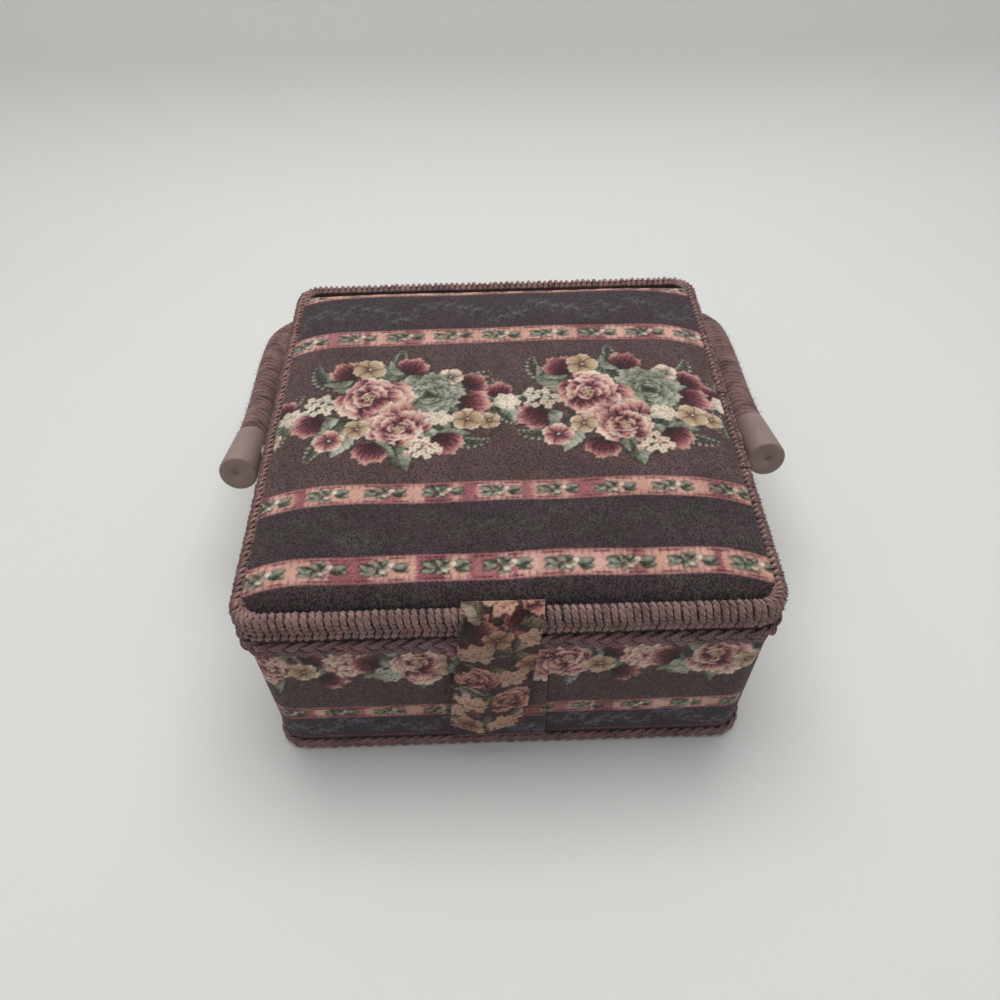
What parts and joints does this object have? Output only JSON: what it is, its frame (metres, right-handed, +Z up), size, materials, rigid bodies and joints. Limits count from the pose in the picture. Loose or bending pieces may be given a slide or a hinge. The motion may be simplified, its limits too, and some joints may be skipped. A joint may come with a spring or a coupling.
{
  "type": "sewing basket",
  "caption": "Square cloth-covered sewing basket with a padded hinged lid, latch flap, cord-wrapped bail handle and lift-out tray.",
  "frame": {"origin": "middle of the underside, on the surface that the basket stands on", "axes": "+Z up, -Y towards the front with the latch flap, +X to the viewer's right"},
  "size_m": [0.327, 0.3411, 0.1224],
  "materials": {
    "printed_cloth": "printed cotton",
    "plain_cloth": "plain woven cotton",
    "lining_cloth": "plain lining cloth",
    "cord": "twisted fibre cord, matte and fuzzy",
    "board": "pressed board",
    "foam": "wadding",
    "rod": "bent cane",
    "cap_plastic": "matte moulded",
    "clear_plastic": "translucent",
    "tray_plastic": "smooth moulded",
    "steel": "plain steel"
  },
  "bodies": {
    "basket": {"base_cloth": "plain_cloth", "base_board": "board", "wall_board": "board", "body_cover": "printed_cloth", "body_lining": "lining_cloth", "floor_lining": "lining_cloth", "front_strip": "printed_cloth", "rim_braid": "cord", "base_braid": "cord", "snap_socket": "steel", "tray_ledge_left": "board", "tray_ledge_right": "board", "pivot_spacer_left": "clear_plastic", "pivot_spacer_right": "clear_plastic", "pivot_screw_left": "steel", "pivot_screw_right": "steel", "pivot_washer_left": "steel", "pivot_washer_right": "steel", "hinge_strap_left_body": "plain_cloth", "hinge_strap_right_body": "plain_cloth"},
    "lid": {"lid_frame": "board", "lid_board": "board", "lid_rim_cord": "cord", "lid_pad": "foam", "lid_cover": "printed_cloth", "lid_lining": "lining_cloth", "lid_pocket": "lining_cloth", "pincushion": "plain_cloth", "latch_anchor": "printed_cloth", "hinge_strap_left_lid": "plain_cloth", "hinge_strap_right_lid": "plain_cloth"},
    "latch": {"latch_flap": "printed_cloth", "snap_stud": "steel"},
    "handle": {"handle_core": "rod", "handle_wrap": "cord", "end_cap_left": "cap_plastic", "end_cap_right": "cap_plastic"},
    "tray": {"tray": "tray_plastic"}
  },
  "joints": [
    {"name": "lid_hinge", "type": "hinge", "parent": "basket", "child": "lid", "pos_m": [0, 0.1359, 0.10185], "axis": [-1, 0, 0], "range_deg": [0, 105]},
    {"name": "latch_lift", "type": "hinge", "parent": "lid", "child": "latch", "pos_m": [-0.006, -0.1361, 0.1175], "axis": [-1, 0, 0], "range_deg": [0, 110]},
    {"name": "handle_swing", "type": "hinge", "parent": "basket", "child": "handle", "pos_m": [0, 0.01, 0.0856], "axis": [1, 0, 0], "range_deg": [-11.5, 215.5]},
    {"name": "tray_lift", "type": "slide", "parent": "basket", "child": "tray", "axis": [0, 0, 1], "range_m": [0, 0.006]}
  ]
}
